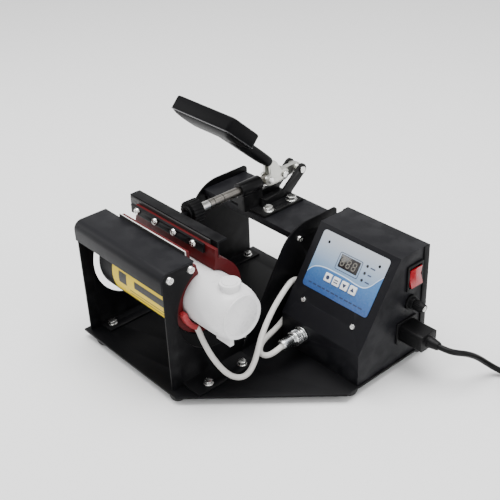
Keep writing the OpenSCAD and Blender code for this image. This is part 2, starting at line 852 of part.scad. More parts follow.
module box_screws() {
    color("#b9bbbd") {
        for (p = PANEL_SCREWS) on_slope(p[0], p[1]) pan_screw(3.2, 1.8, 1.5, board_drop - 0.5);
        for (p = BOARD_STUDS) on_slope(p[0], p[1]) translate([0, 0, 0.05 - board_drop + 0.5])
            cylinder(h = board_drop - 0.5, r = 1.5);
    }
}

module panel_overlay() {
    color("#6f9fd0") difference() {
        on_slope(0, panel_s) linear_extrude(panel_t) round_rect(panel_w, panel_l, 4);
        on_slope(display_x, display_s, -1) linear_extrude(4)
            round_rect(display_w + 0.6, display_l + 0.6, 0.5);
        for (x = KEY_X) on_slope(x, key_down_s, -1) linear_extrude(4)
            round_rect(key_s + 2 * key_gap, key_s + 2 * key_gap, 0.8);
        for (s = LED_S) on_slope(led_x, s, -1) cylinder(h = 4, r = 1.7);
        for (p = BOARD_STUDS) on_slope(p[0], p[1], -1) cylinder(h = 4, r = 1.7);
    }
}

module display_module() {
    color("#20100c") on_slope(display_x, display_s, -board_drop) linear_extrude(board_drop + panel_t)
        round_rect(display_w, display_l, 0.3);
}

module led_lenses() {
    color("#7a1512") for (s = LED_S) on_slope(led_x, s, -board_drop) {
        cylinder(h = board_drop, r = 1.5);
        translate([0, 0, board_drop]) cylinder(h = 1, r1 = 1.5, r2 = 1.1);
    }
}

module panel_key(i) {
    color("#e9e9e6") on_slope(KEY_X[i], key_down_s, -key_depth) {
        linear_extrude(key_depth + panel_t + key_rise) round_rect(key_s, key_s, 1);
    }
}

module key_set() {
    panel_key(0);
}

module key_temperature() {
    panel_key(1);
}

module key_down() {
    panel_key(2);
}

module key_up() {
    panel_key(3);
}

module circuit_board() {
    low = board_drop + board_t;
    color("#1f6b3a") difference() {
        union() {
            on_slope(0, 52, -low) linear_extrude(board_t) round_rect(84, 80, 1);
            for (x = KEY_X) on_slope(x, key_down_s, -board_drop) {
                translate([-3, -3, 0]) cube([6, 6, 3]);
                cylinder(h = board_drop - key_depth - 1, r = 1.7);
            }
            on_slope(-24, 66, -low - 9) linear_extrude(9) square([18, 10], center = true);
            on_slope(20, 66, -low - 7) linear_extrude(7) square([12, 12], center = true);
        }
    }
}

module transformer() {
    x0 = box_x0 + 8;
    y0 = 204;
    foot_l = 40;
    foot_w = 34;
    foot_t = 2;
    core_w = 16;
    core_h = 28;
    coil_w = 28;
    coil_l = 20;
    coil_h = 18;
    middle = [x0 + foot_l / 2, y0 + foot_w / 2];
    color("#8a8f94") {
        block([x0, y0, base_top], [x0 + foot_l, y0 + foot_w, base_top + foot_t]);
        block([x0 + 4, middle[1] - core_w / 2, base_top + foot_t],
            [x0 + foot_l - 4, middle[1] + core_w / 2, base_top + foot_t + core_h]);
        block([middle[0] - coil_l / 2, middle[1] - coil_w / 2, base_top + foot_t + 5],
            [middle[0] + coil_l / 2, middle[1] + coil_w / 2, base_top + foot_t + 5 + coil_h]);
    }
}

module power_relay() {
    relay_l = 40;
    relay_w = 48;
    relay_h = 22;
    x0 = box_x0 + 48;
    y0 = box_front + 14;
    color("#dcdcd2") block([x0, y0, base_top], [x0 + relay_l, y0 + relay_w, base_top + relay_h]);
}

// ---------- right-hand side ----------

module switch_frame() {
    inner_w = switch_w - 6;
    inner_l = switch_l - 6;
    color("#0e0e10") difference() {
        union() {
            along_x(box_x1, 2) translate([switch_y, switch_z]) round_rect(switch_w, switch_l, 1.5);
            along_x(box_x1 - 20, 20) translate([switch_y, switch_z])
                square([switch_w - 3.4, switch_l - 3.4], center = true);
        }
        along_x(box_x1 - 9, 20) translate([switch_y, switch_z])
            square([inner_w, inner_l], center = true);
    }
}

// Seen from the side the rocker is a shallow V that turns about a pin in the frame
module switch_rocker() {
    half = switch_l / 2 - 5;
    w = switch_w - 6.8;
    color("#d8242b") translate([box_x1, switch_y, switch_z]) rotate([90, 0, 0]) {
        translate([0, 0, -w / 2]) linear_extrude(w)
            polygon([[-4, -3], [-4, 3], [1.6, half], [3.1, half], [1.5, 0], [5, -half], [3.4, -half]]);
        translate([-4, 0, -w / 2 - 0.1]) cylinder(h = w + 0.2, r = 3);
    }
}

module fuse_holder() {
    color("#121214") difference() {
        union() {
            bar_x(box_x1 - 28, 28, fuse_y, fuse_z, fuse_r);
            bar_x(box_x1, 2.5, fuse_y, fuse_z, fuse_r + 2.2);
            bar_x(box_x1 + 2.5, 5, fuse_y, fuse_z, fuse_r + 0.6);
        }
        bar_x(box_x1 - 24, 40, fuse_y, fuse_z, fuse_r - 1.6);
    }
}

module fuse_cap() {
    color("#17171a") {
        bar_x(box_x1 - 20, 27.8, fuse_y, fuse_z, fuse_r - 1.6 - run_gap);
        bar_x(box_x1 + 7.8, fuse_out - 7.8 - 3, fuse_y, fuse_z, fuse_cap_r);
        bar_x(box_x1 + fuse_out - 3, 3, fuse_y, fuse_z, fuse_cap_r - 1.2);
    }
}

module power_inlet() {
    color("#101012") difference() {
        union() {
            along_x(box_x1, 2) translate([inlet_y, inlet_z]) round_rect(32, 27, 2);
            along_x(box_x1 - 18, 18) translate([inlet_y, inlet_z]) square([27, 20], center = true);
        }
        along_x(box_x1 - 2, 10) translate([inlet_y, inlet_z]) square([24, 17], center = true);
    }
}

module mains_connector() {
    x0 = box_x1 + 2;
    color("#0c0c0e") {
        along_x(x0, connector_l) translate([inlet_y, inlet_z])
            round_rect(connector_w, connector_h, 4);
        along_x(x0 - 4, 4) translate([inlet_y, inlet_z]) round_rect(23.6, 16.6, 2);
        translate([x0 + connector_l, inlet_y, inlet_z]) rotate([0, 90, 0])
            cylinder(h = relief_l, r1 = 6.5, r2 = 4.4);
    }
}

module mains_cord() {
    start = [box_x1 + 2 + connector_l + relief_l, inlet_y, inlet_z];
    color("#0b0b0c") {
        tube(cut_corners(concat([start], CORD)), cord_d, 8);
        tube(cut_corners(TAIL), cord_d, 8);
    }
}

module mains_coil() {
    color("#0b0b0c") translate([coil_x, coil_y, 0]) rotate_extrude()
        translate([coil_r - coil_w / 2, 0]) square([coil_w, coil_h]);
}

// A plain moulded plug with two flat pins and a round earth pin
module mains_plug() {
    translate([plug_x, plug_y, 12]) rotate([0, 0, 90]) {
        color("#0c0c0e") {
            rotate([-90, 0, 0]) cylinder(h = 22, r1 = 4.4, r2 = 7);
            block([-13, 22, -12], [13, 50, 12]);
        }
        color("#c9b458") {
            for (x = [-6.5, 6.5]) block([x - 0.8, 50, -1], [x + 0.8, 67, 5]);
            translate([0, 50, -7]) rotate([-90, 0, 0]) cylinder(h = 19, r = 2.4);
        }
    }
}

// ---------- heater cable ----------

module heater_socket() {
    color("#c9cbce") difference() {
        union() {
            bar_y(box_front - 2.5, 2.5, socket_x, socket_z, socket_r + 3);
            bar_y(box_front - 12, 28, socket_x, socket_z, socket_r);
        }
        bar_y(box_front - 13, 10, socket_x, socket_z, socket_r - 1.2);
    }
}

module connector_body() {
    color("#d2d4d6") difference() {
        union() {
            bar_y(ring_y0 - 12, 12.5, socket_x, socket_z, 6.2);
            bar_y(ring_y0 - 1.5, 8, socket_x, socket_z, socket_r - 1.4);
            bar_y(body_y0 + 4, ring_y0 - 16 - body_y0 + 4, socket_x, socket_z, 5.4);
            bar_y(body_y0 + 2, 7, socket_x, socket_z, 6.4);
        }
        bar_y(body_y0 - 1, 9, socket_x, socket_z, cable_d / 2 + 0.1);
    }
}

module connector_ring() {
    color("#dcdee0") difference() {
        bar_y(ring_y0 - 1, ring_l, socket_x, socket_z, ring_r);
        bar_y(ring_y0 + 1, ring_l + 1, socket_x, socket_z, socket_r + run_gap);
        bar_y(ring_y0 - 2, 5, socket_x, socket_z, 6.2 + run_gap);
    }
}

module heater_cable() {
    end = [socket_x, body_y0 + 7.9, socket_z];
    color("#e6e5e0") tube(cut_corners(concat(CABLE, [end])), cable_d, 8);
}

// ---------- cup ----------

module cup_profile(r, x1, round_l, end_r) {
    steps = 8;
    polygon([[0, 0], [r, 0], for (i = [0:steps]) let (a = 90 * i / steps)
        [end_r + (r - end_r) * cos(a), x1 - round_l + round_l * sin(a)], [0, x1]]);
}

module blank_cup() {
    x1 = stand_w + cup_out;
    boss_x = x1 - 17;
    color("#f4f4f4") difference() {
        union() {
            translate([x1 - cup_l, heater_y, heater_h]) rotate([0, 90, 0])
                rotate_extrude() difference() {
                    cup_profile(cup_r, cup_l, cup_round, cup_end_r);
                    translate([-1, -1]) square([1, cup_l + 2]);
                }
            translate([boss_x, heater_y, heater_h]) cylinder(h = cup_r + 5, r = 11);
            block([boss_x - 12, heater_y - 12, heater_h - cup_r - 5], [boss_x + 10, heater_y - 7, heater_h]);
        }
        translate([x1 - cup_l, heater_y, heater_h]) rotate([0, 90, 0])
            rotate_extrude() difference() {
                translate([0, -eps]) cup_profile(cup_r - cup_wall, cup_l - cup_wall - 1,
                    cup_round, cup_end_r - 2);
                translate([-1, -1]) square([1, cup_l + 2]);
            }
    }
}

placed() base_plate();
placed() rubber_feet();
placed() stand_left_cheek();
placed() stand_right_cheek();
placed() stand_top_cover();
placed() stand_screws();
placed() base_bolts();
placed() heater_shell();
placed() blank_label();
placed() fixed_insulator();
placed() fixed_screws();
placed() heater_band_fixed();
placed() heater_band_moving();
placed() band_lead_boot();
placed() pressure_rail();
placed() rail_clamp_strip();
placed() rail_screws();
placed() rail_insulator();
placed() rail_bracket();
placed() clamp_body();
placed() clamp_bolts();
placed() plunger();
placed() pressure_knob();
placed() plunger_pin();
placed() toggle_link();
placed() ear_pin();
placed() handle_arm();
placed() link_pin();
placed() handle_grip();
placed() bridge_left_cheek();
placed() bridge_right_cheek();
placed() bridge_plate();
placed() bridge_screws();
placed() box_shell();
placed() box_rear_cover();
placed() box_screws();
placed() panel_overlay();
placed() display_module();
placed() led_lenses();
placed() key_set();
placed() key_temperature();
placed() key_down();
placed() key_up();
placed() circuit_board();
placed() transformer();
placed() power_relay();
placed() switch_frame();
placed() switch_rocker();
placed() fuse_holder();
placed() fuse_cap();
placed() power_inlet();
placed() mains_connector();
placed() mains_cord();
placed() mains_coil();
placed() mains_plug();
placed() heater_socket();
placed() connector_body();
placed() connector_ring();
placed() heater_cable();
placed() blank_cup();
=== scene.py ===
# Mug heat press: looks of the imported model. Sizes are in millimetres in the press's own frame
# (X along the heater, Y away from the operator, Z from the floor) until at() turns them to metres.
import json
import math

import bmesh
import bpy
from mathutils import Matrix, Vector


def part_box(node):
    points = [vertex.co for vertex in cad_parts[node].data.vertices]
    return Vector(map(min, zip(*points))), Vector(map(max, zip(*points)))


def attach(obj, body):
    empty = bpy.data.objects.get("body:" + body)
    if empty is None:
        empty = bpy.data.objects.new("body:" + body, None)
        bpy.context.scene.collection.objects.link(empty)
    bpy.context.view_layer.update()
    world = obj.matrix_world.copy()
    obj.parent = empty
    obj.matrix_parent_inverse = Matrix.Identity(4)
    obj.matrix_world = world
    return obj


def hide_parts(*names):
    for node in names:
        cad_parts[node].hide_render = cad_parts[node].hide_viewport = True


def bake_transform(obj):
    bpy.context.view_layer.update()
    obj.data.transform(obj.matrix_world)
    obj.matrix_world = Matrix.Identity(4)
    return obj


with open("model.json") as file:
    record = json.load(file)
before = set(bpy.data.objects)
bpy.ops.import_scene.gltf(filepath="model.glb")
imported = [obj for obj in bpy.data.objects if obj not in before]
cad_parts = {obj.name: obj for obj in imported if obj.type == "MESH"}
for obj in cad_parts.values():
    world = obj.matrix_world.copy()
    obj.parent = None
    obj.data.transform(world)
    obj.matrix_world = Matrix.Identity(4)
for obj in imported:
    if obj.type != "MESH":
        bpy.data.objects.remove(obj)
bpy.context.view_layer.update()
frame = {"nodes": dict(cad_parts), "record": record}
NODES = frame["nodes"]
BODY_OF = {n: b for b, ns in frame["record"]["behaviour"]["bodies"].items() for n in ns}

MM = 0.001
ORIGIN = Vector((151.25, 132.0, 0.0))
BASE_TOP = 10.5
HEATER_Y, HEATER_Z = 57, 104.5
BOX_MID_X = 231.0
SLOPE_TOP_Y, SLOPE_TOP_Z = 207.5, BASE_TOP + 131


def at(x, y, z):
    """A point of the press's own frame, in metres in the model's frame."""
    return (Vector((x, y, z)) - ORIGIN) * MM


def mid(node):
    lo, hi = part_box(node)
    return (lo + hi) / 2


# ---------- camera ----------

def look(name, place, right, up, lens):
    """A camera whose orientation is given by its right and up axes."""
    data = bpy.data.cameras.new(name)
    data.lens = lens
    data.sensor_width = 36
    camera = bpy.data.objects.new(name, data)
    bpy.context.scene.collection.objects.link(camera)
    r = Vector(right).normalized()
    u = (Vector(up) - Vector(up).dot(r) * r).normalized()
    camera.matrix_world = Matrix.Translation(place) @ Matrix((r, u, r.cross(u))).transposed().to_4x4()
    return camera


camera = look("photo_camera", (0.65065, -0.5689, 0.6473), (0.667, 0.745, -0.035),
    (-0.364, 0.367, 0.856), 67.0)
bpy.context.scene.camera = camera


# ---------- materials ----------

class Nodes:
    """Small helper that adds and links shader nodes of one material."""

    def __init__(self, name):
        self.mat = bpy.data.materials.new(name)
        self.mat.use_nodes = True
        self.tree = self.mat.node_tree
        self.shader = self.tree.nodes["Principled BSDF"]
        self.place = self.add("ShaderNodeTexCoord").outputs["Object"]

    def add(self, kind, **values):
        node = self.tree.nodes.new(kind)
        for key, value in values.items():
            if hasattr(node, key):
                setattr(node, key, value)
            else:
                self.feed(node.inputs[key.replace("_", " ")], value)
        return node

    def feed(self, socket, value):
        if isinstance(value, bpy.types.NodeSocket):
            self.tree.links.new(value, socket)
        else:
            socket.default_value = value

    def math(self, kind, a, b=0.0):
        node = self.add("ShaderNodeMath", operation=kind)
        for socket, value in zip(node.inputs, (a, b)):
            self.feed(socket, value)
        return node.outputs[0]

    def noise(self, scale, detail=3.0, stretch=(1, 1, 1)):
        mapped = self.add("ShaderNodeMapping", Vector=self.place, Scale=stretch)
        return self.add("ShaderNodeTexNoise", Vector=mapped.outputs[0], Scale=scale,
            Detail=detail).outputs["Fac"]

    def spread(self, fac, low, high, cut=(0.3, 0.7)):
        """Maps a noise to the range from low to high."""
        node = self.add("ShaderNodeMapRange", Value=fac)
        for socket, value in zip(node.inputs[1:5], (*cut, low, high)):
            self.feed(socket, value)
        return node.outputs[0]

    def mix(self, fac, a, b):
        node = self.add("ShaderNodeMix", data_type="RGBA")
        self.feed(node.inputs["Factor"], fac)
        for socket, value in ((node.inputs[6], a), (node.inputs[7], b)):
            self.feed(socket, (*value, 1) if isinstance(value, tuple) and len(value) == 3 else value)
        return node.outputs[2]

    def split(self):
        return self.add("ShaderNodeSeparateXYZ", Vector=self.place).outputs

    def bump(self, height, distance):
        node = self.add("ShaderNodeBump", Height=height, Distance=distance, Strength=1.0)
        self.feed(self.shader.inputs["Normal"], node.outputs[0])


def surface(name, color, rough, metal=0.0, grain=900.0, bump=0.03, vary=0.12, wear=None, stretch=(1, 1, 1),
        coat=0.0, sheen=0.0, spec=0.5, patchy=0.1):
    """A painted, moulded or plated surface: fine grain in its relief, cloudy colour and roughness."""
    n = Nodes(name)
    cloud = n.noise(14, 4)
    fine = n.noise(grain, 2, stretch)
    dark = tuple(c * (1 - vary) for c in color)
    light = tuple(min(1.0, c * (1 + vary)) for c in color)
    tint = n.mix(n.spread(cloud, 0, 1), dark, light)
    if wear:
        edge = n.add("ShaderNodeNewGeometry").outputs["Pointiness"]
        on_edge = n.spread(edge, 0, 1, (0.53, 0.62))
        rubbed = n.math("MULTIPLY", on_edge, n.spread(n.noise(60, 5), 0, 1, (0.42, 0.62)))
        tint = n.mix(n.math("MULTIPLY", rubbed, 0.5), tint, wear)
    n.feed(n.shader.inputs["Base Color"], tint)
    broad = n.spread(cloud, rough * (1 - patchy), rough * (1 + patchy))
    n.feed(n.shader.inputs["Roughness"], n.math("ADD", broad, n.spread(fine, -0.03, 0.03)))
    n.shader.inputs["Metallic"].default_value = metal
    n.shader.inputs["Specular IOR Level"].default_value = spec
    n.shader.inputs["Coat Weight"].default_value = coat
    n.shader.inputs["Coat Roughness"].default_value = 0.12
    n.shader.inputs["Sheen Weight"].default_value = sheen
    if bump:
        n.bump(fine, bump * MM)
    return n.mat


def slope_coords(n):
    """x from the box's middle and s down the sloping face, in millimetres, for a material."""
    x, y, z = n.split()
    lo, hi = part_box("box_shell")
    panel_mid = (lo.x + hi.x) / 2
    across = n.math("MULTIPLY", n.math("SUBTRACT", x, panel_mid), 1000)
    down = n.math("MULTIPLY", n.math("SUBTRACT", SLOPE_TOP.z, z), 1000 / math.sin(SLOPE))
    return across, down


def panel_print():
    """Light grey film above a white wave line, and blue below it that deepens downwards."""
    n = Nodes("panel_print")
    x, s = slope_coords(n)
    wave = n.add("ShaderNodeFloatCurve")
    curve = wave.mapping.curves[0]
    points = [(-48, 57), (-43, 49), (-36, 45.3), (-26, 43.4), (-12, 43), (6, 43.2), (20, 44.4),
        (30, 43.6), (37, 38.5), (42, 31.5), (48, 24)]
    half_span, depth = 50, 80
    shares = [((px + half_span) / (2 * half_span), ps / depth) for px, ps in points]
    curve.points[0].location = shares[0]
    curve.points[1].location = shares[-1]
    for share in shares[1:-1]:
        curve.points.new(*share)
    wave.mapping.update()
    n.feed(wave.inputs["Value"], n.math("DIVIDE", n.math("ADD", x, half_span), 2 * half_span))
    edge = n.math("MULTIPLY", wave.outputs[0], depth)
    below = n.spread(n.math("SUBTRACT", s, edge), 0, 1, (-0.3, 0.3))
    upper = n.mix(n.spread(s, 0, 1, (8, 52)), (0.40, 0.43, 0.47), (0.085, 0.215, 0.40))
    lower = n.mix(n.spread(s, 0, 1, (40, 70)), (0.030, 0.135, 0.33), (0.009, 0.055, 0.20))
    line = n.spread(n.math("ABSOLUTE", n.math("SUBTRACT", s, edge)), 1, 0, (0.35, 0.75))
    tint = n.mix(below, upper, lower)
    tint = n.mix(n.math("MULTIPLY", line, 0.75), tint, (0.72, 0.80, 0.90))
    grit = n.noise(420, 3)
    tint = n.mix(n.spread(grit, 0, 0.03), tint, (0.85, 0.9, 1.0))
    n.feed(n.shader.inputs["Base Color"], tint)
    n.feed(n.shader.inputs["Roughness"], n.spread(grit, 0.30, 0.40))
    n.shader.inputs["Coat Weight"].default_value = 0.3
    n.shader.inputs["Coat Roughness"].default_value = 0.15
    n.bump(grit, 0.012 * MM)
    return n.mat


def label_print():
    """Plain yellow film with a black bar, a small square and two thin rules, and no lettering."""
    n = Nodes("label_print")
    x, y, z = n.split()
    lo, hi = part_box("blank_label")
    along = n.math("DIVIDE", n.math("SUBTRACT", x, lo.x), hi.x - lo.x)
    axis = at(0, HEATER_Y, HEATER_Z)
    reach = axis.y - lo.y
    low_turn, top_turn = (math.asin(max(-1.0, min(1.0, (end - axis.z) / reach))) for end in (lo.z, hi.z))
    turn = n.math("ARCTAN2", n.math("SUBTRACT", z, axis.z), n.math("SUBTRACT", axis.y, y))
    high = n.math("DIVIDE", n.math("SUBTRACT", turn, low_turn), top_turn - low_turn)

    def inside(value, a, b, soft=0.006):
        return n.math("MULTIPLY", n.spread(value, 0, 1, (a - soft, a + soft)),
            n.spread(value, 1, 0, (b - soft, b + soft)))

    bar_ink = n.math("MULTIPLY", inside(along, 0.40, 0.96), inside(high, 0.42, 0.62))
    rules = n.math("MAXIMUM", inside(high, 0.14, 0.17), inside(high, 0.25, 0.28))
    rules = n.math("MULTIPLY", rules, inside(along, 0.30, 0.92))
    square = n.math("MULTIPLY", inside(along, 0.12, 0.26), inside(high, 0.34, 0.66))
    ink = n.math("MAXIMUM", n.math("MAXIMUM", bar_ink, rules), square)
    yellow = n.mix(n.spread(n.noise(40, 4), 0, 1), (0.66, 0.47, 0.0015), (0.74, 0.54, 0.003))
    n.feed(n.shader.inputs["Base Color"], n.mix(ink, yellow, (0.012, 0.012, 0.012)))
    n.feed(n.shader.inputs["Roughness"], n.spread(n.noise(300, 2), 0.34, 0.46))
    n.shader.inputs["Specular IOR Level"].default_value = 0.25
    n.bump(n.noise(260, 3), 0.02 * MM)
    return n.mat


def turned_rod():
    """Ground steel with three dark rings painted as the shade of turned grooves, and brighter at the end that
    meets the knob.
    """
    n = Nodes("turned_rod")
    y = n.split()[1]
    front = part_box("plunger")[0].y
    along = n.math("MULTIPLY", n.math("SUBTRACT", y, front), 1000)
    tip = n.spread(along, 1, 0, (13.6, 14.0))
    ground = n.mix(n.spread(n.noise(40, 4), 0, 1), (0.24, 0.225, 0.205), (0.36, 0.34, 0.31))
    tint = n.mix(tip, ground, (0.66, 0.66, 0.64))
    # Painted shade: three near-black rings stand in for the shade at turned steps of the rod.
    for place in (14.4, 21.0, 34.0):
        groove_shade = n.spread(n.math("ABSOLUTE", n.math("SUBTRACT", along, place)), 1, 0, (0.35, 0.55))
        tint = n.mix(groove_shade, tint, (0.02, 0.02, 0.02))
    n.feed(n.shader.inputs["Base Color"], tint)
    n.shader.inputs["Metallic"].default_value = 1.0
    turned = n.noise(300, 2, (1, 9, 1))
    n.feed(n.shader.inputs["Roughness"], n.spread(turned, 0.26, 0.38))
    n.bump(turned, 0.015 * MM)
    return n.mat


def sheet_with_painted_highlight():
    """Dark sheet with one face and edge painted white as a painted highlight, along the cover and the rail.
    """
    n = Nodes("sheet_with_painted_highlight")
    y, z = n.split()[1:]
    fixed_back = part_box("fixed_insulator")[1].y
    rail_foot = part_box("rail_insulator")[0].z
    front = n.spread(y, 1, 0, (fixed_back - 1.25 * MM, fixed_back - 1.15 * MM))
    back = n.spread(y, 0, 1, (fixed_back + 1 * MM, fixed_back + 1.1 * MM))
    low_edge_highlight = n.spread(z, 1, 0, (rail_foot + 1.0 * MM, rail_foot + 1.2 * MM))
    dark = n.math("MAXIMUM", front, n.math("MULTIPLY", back, n.math("SUBTRACT", 1.0, low_edge_highlight)))
    # The white band is a painted highlight of the edge; the rest of the sheet is its own dark colour.
    n.feed(n.shader.inputs["Base Color"], n.mix(dark, (0.72, 0.72, 0.70), (0.012, 0.011, 0.011)))
    n.feed(n.shader.inputs["Roughness"], n.spread(n.noise(300, 3), 0.4, 0.55))
    n.bump(n.noise(700, 2), 0.02 * MM)
    return n.mat


SILL_Y, SILL_Z = 146.0, BASE_TOP + 39
SLOPE = math.atan2(SLOPE_TOP_Z - SILL_Z, SLOPE_TOP_Y - SILL_Y)
SLOPE_TOP = at(BOX_MID_X, SLOPE_TOP_Y, SLOPE_TOP_Z)

PAINT = surface("black_powder", (0.0034, 0.0034, 0.0040), 0.42, grain=1300, bump=0.03, vary=0.06,
    wear=(0.016, 0.016, 0.017), spec=0.09, patchy=0.03)
# Painted light: a lighter copy of the black powder coat for the faces that catch the overhead light (top
# cover, bridge plate, box shell).
PAINT_PAINTED_LIGHT = surface("black_powder_painted_light", (0.0062, 0.0062, 0.0078), 0.46, grain=1300, bump=0.03, vary=0.06,
    wear=(0.022, 0.022, 0.024), spec=0.12, patchy=0.03)
ZINC = surface("bright_zinc", (0.78, 0.78, 0.76), 0.24, metal=1.0, grain=500, bump=0.015, vary=0.08)
ARM_STEEL = surface("pressed_steel", (0.62, 0.62, 0.58), 0.34, metal=1.0, grain=420, bump=0.02, vary=0.10)
CASTING = surface("black_casting", (0.0036, 0.0036, 0.004), 0.34, grain=480, bump=0.06, vary=0.15,
    wear=(0.02, 0.02, 0.02), spec=0.14)
SILICONE = surface("red_silicone", (0.068, 0.0012, 0.0022), 0.46, grain=650, bump=0.04, vary=0.18, spec=0.22)
BOOT = surface("boot_silicone", (0.26, 0.014, 0.018), 0.40, grain=500, bump=0.04, vary=0.18)
SHEET_PAINTED_HIGHLIGHT = sheet_with_painted_highlight()
WHITE_SHEET = surface("white_sheet", (0.74, 0.74, 0.71), 0.6, grain=900, bump=0.02, vary=0.05)
CERAMIC = surface("coated_white", (0.76, 0.755, 0.76), 0.30, grain=240, bump=0.03, vary=0.025, coat=0.25)
FOOT = surface("foot_rubber", (0.007, 0.007, 0.007), 0.75, grain=700, bump=0.05, vary=0.2)
MOULDED = surface("moulded_black", (0.004, 0.004, 0.0045), 0.46, grain=1100, bump=0.04, vary=0.12, spec=0.12,
    patchy=0.04)
GRIP = surface("grip_vinyl", (0.0032, 0.0032, 0.0037), 0.42, grain=520, bump=0.015, vary=0.12, spec=0.05,
    patchy=0.04)
# Painted highlight: the rim bead is a real bead, and its lighter grey stands in for the bright line along the
# grip's edge.
RIM_PAINTED_HIGHLIGHT = surface("grip_rim_painted_highlight", (0.05, 0.05, 0.052), 0.22, grain=520, bump=0.0, vary=0.1, spec=0.5)
JACKET = surface("mains_jacket", (0.0036, 0.0036, 0.004), 0.42, grain=900, bump=0.03, vary=0.12, spec=0.16)
CABLE_WHITE = surface("white_jacket", (0.60, 0.585, 0.555), 0.45, grain=260, bump=0.04, vary=0.06, sheen=0.1)
PLATED = surface("plated_connector", (0.74, 0.75, 0.75), 0.22, metal=1.0, grain=700, bump=0.015, vary=0.08)
KEYCAP = surface("keycap", (0.70, 0.71, 0.72), 0.42, grain=700, bump=0.02, vary=0.03)
INK = surface("print_ink", (0.02, 0.03, 0.07), 0.5, grain=600, bump=0.0, vary=0.1)
WINDOW = surface("display_window", (0.018, 0.016, 0.016), 0.16, grain=500, bump=0.0, vary=0.1, coat=0.5)
DIGIT = surface("display_digit", (0.15, 0.14, 0.12), 0.4, grain=500, bump=0.0, vary=0.05)
LENS = surface("dark_lens", (0.012, 0.008, 0.008), 0.12, grain=500, bump=0.0, vary=0.1, coat=0.6)
ROCKER = surface("red_rocker", (0.30, 0.003, 0.010), 0.20, grain=400, bump=0.008, vary=0.08, coat=0.5)
BRASS = surface("brass_pins", (0.72, 0.50, 0.22), 0.3, metal=1.0, grain=500, bump=0.015, vary=0.1)
BOARD = surface("circuit_green", (0.02, 0.14, 0.05), 0.4, grain=300, bump=0.03, vary=0.2)
CORE = surface("core_steel", (0.35, 0.35, 0.36), 0.45, metal=1.0, grain=900, bump=0.06, vary=0.1,
    stretch=(1, 1, 6))

MATERIAL_OF = {
    "rubber_feet": FOOT, "stand_top_cover": PAINT_PAINTED_LIGHT, "bridge_plate": PAINT_PAINTED_LIGHT, "box_shell": PAINT_PAINTED_LIGHT,
    "blank_label": label_print(), "fixed_insulator": SHEET_PAINTED_HIGHLIGHT, "rail_insulator": SHEET_PAINTED_HIGHLIGHT,
    "heater_band_fixed": SILICONE, "heater_band_moving": SILICONE, "band_lead_boot": BOOT,
    "clamp_body": CASTING, "plunger": turned_rod(), "toggle_link": ARM_STEEL, "handle_arm": ARM_STEEL,
    "pressure_knob": MOULDED, "handle_grip": GRIP, "panel_overlay": panel_print(),
    "display_module": WINDOW, "led_lenses": LENS, "key_set": KEYCAP, "key_temperature": KEYCAP,
    "key_down": KEYCAP, "key_up": KEYCAP, "circuit_board": BOARD, "transformer": CORE,
    "power_relay": WHITE_SHEET, "switch_frame": MOULDED, "switch_rocker": ROCKER, "fuse_holder": MOULDED,
    "fuse_cap": MOULDED, "power_inlet": MOULDED, "mains_connector": JACKET, "mains_cord": JACKET,
    "mains_coil": JACKET, "mains_plug": JACKET, "heater_socket": PLATED, "connector_body": PLATED,
    "connector_ring": PLATED, "heater_cable": CABLE_WHITE, "blank_cup": CERAMIC,
}
for part in ("stand_screws", "base_bolts", "fixed_screws", "rail_screws", "clamp_bolts", "bridge_screws",
        "box_screws", "plunger_pin", "link_pin", "ear_pin"):
    MATERIAL_OF[part] = ZINC


# ---------- mesh helpers ----------

def add_piece(name, mesh, material, body, smooth):
    """Links a mesh as a piece of the object. It rides on body, unless body is None."""
    obj = bpy.data.objects.new(name, mesh)
    bpy.context.scene.collection.objects.link(obj)
    if not mesh.materials:
        mesh.materials.append(material)
    mesh.shade_smooth()
    mesh.set_sharp_from_angle(angle=math.radians(smooth))
    if body:
        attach(obj, body)
    return obj


def from_bmesh(name, bm):
    """A mesh from a bmesh, which it frees, with its faces turned outwards."""
    bmesh.ops.recalc_face_normals(bm, faces=bm.faces)
    mesh = bpy.data.meshes.new(name)
    bm.to_mesh(mesh)
    bm.free()
    return mesh


def loft(name, rings, joined=False):
    """A mesh through rings of as many points each, capped, or joined from the last ring to the first."""
    bm = bmesh.new()
    rows = [[bm.verts.new(p) for p in ring] for ring in rings]
    count = len(rows[0])
    for a, b in zip(rows, rows[1:] + (rows[:1] if joined else [])):
        for i in range(count):
            j = (i + 1) % count
            bm.faces.new((a[i], a[j], b[j], b[i]))
    if not joined:
        bm.faces.new(rows[0][::-1])
        bm.faces.new(rows[-1])
    return from_bmesh(name, bm)


def circle(radius, steps, tooth=0.0):
    """(cos, sin) points of a circle, in metres, with the second half of each 4 steps set in by tooth."""
    points = []
    for k in range(steps):
        angle = 2 * math.pi * k / steps
        r = (radius - (tooth if k % 4 in (2, 3) else 0)) * MM
        points.append((r * math.cos(angle), r * math.sin(angle)))
    return points


def rounded(node, width, segments=3, rides=True):
    """The CAD node's own shape with its edges broken, in place of the sharp CAD mesh."""
    weld = 2e-6
    flat, sharp_from = math.radians(0.6), math.radians(32)
    bm = bmesh.new()
    bm.from_mesh(NODES[node].data)
    bmesh.ops.remove_doubles(bm, verts=bm.verts, dist=weld)
    bmesh.ops.dissolve_limit(bm, angle_limit=flat, verts=bm.verts, edges=bm.edges)
    sharp = [e for e in bm.edges if len(e.link_faces) == 2 and e.calc_face_angle(0) > sharp_from]
    bmesh.ops.bevel(bm, geom=sharp, offset=width * MM, segments=segments, profile=0.5,
        affect="EDGES", clamp_overlap=True)
    mesh = from_bmesh(node + "_shape", bm)
    obj = add_piece(node + "_piece", mesh, MATERIAL_OF.get(node, PAINT), BODY_OF[node] if rides else None,
        28)
    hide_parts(node)
    return obj


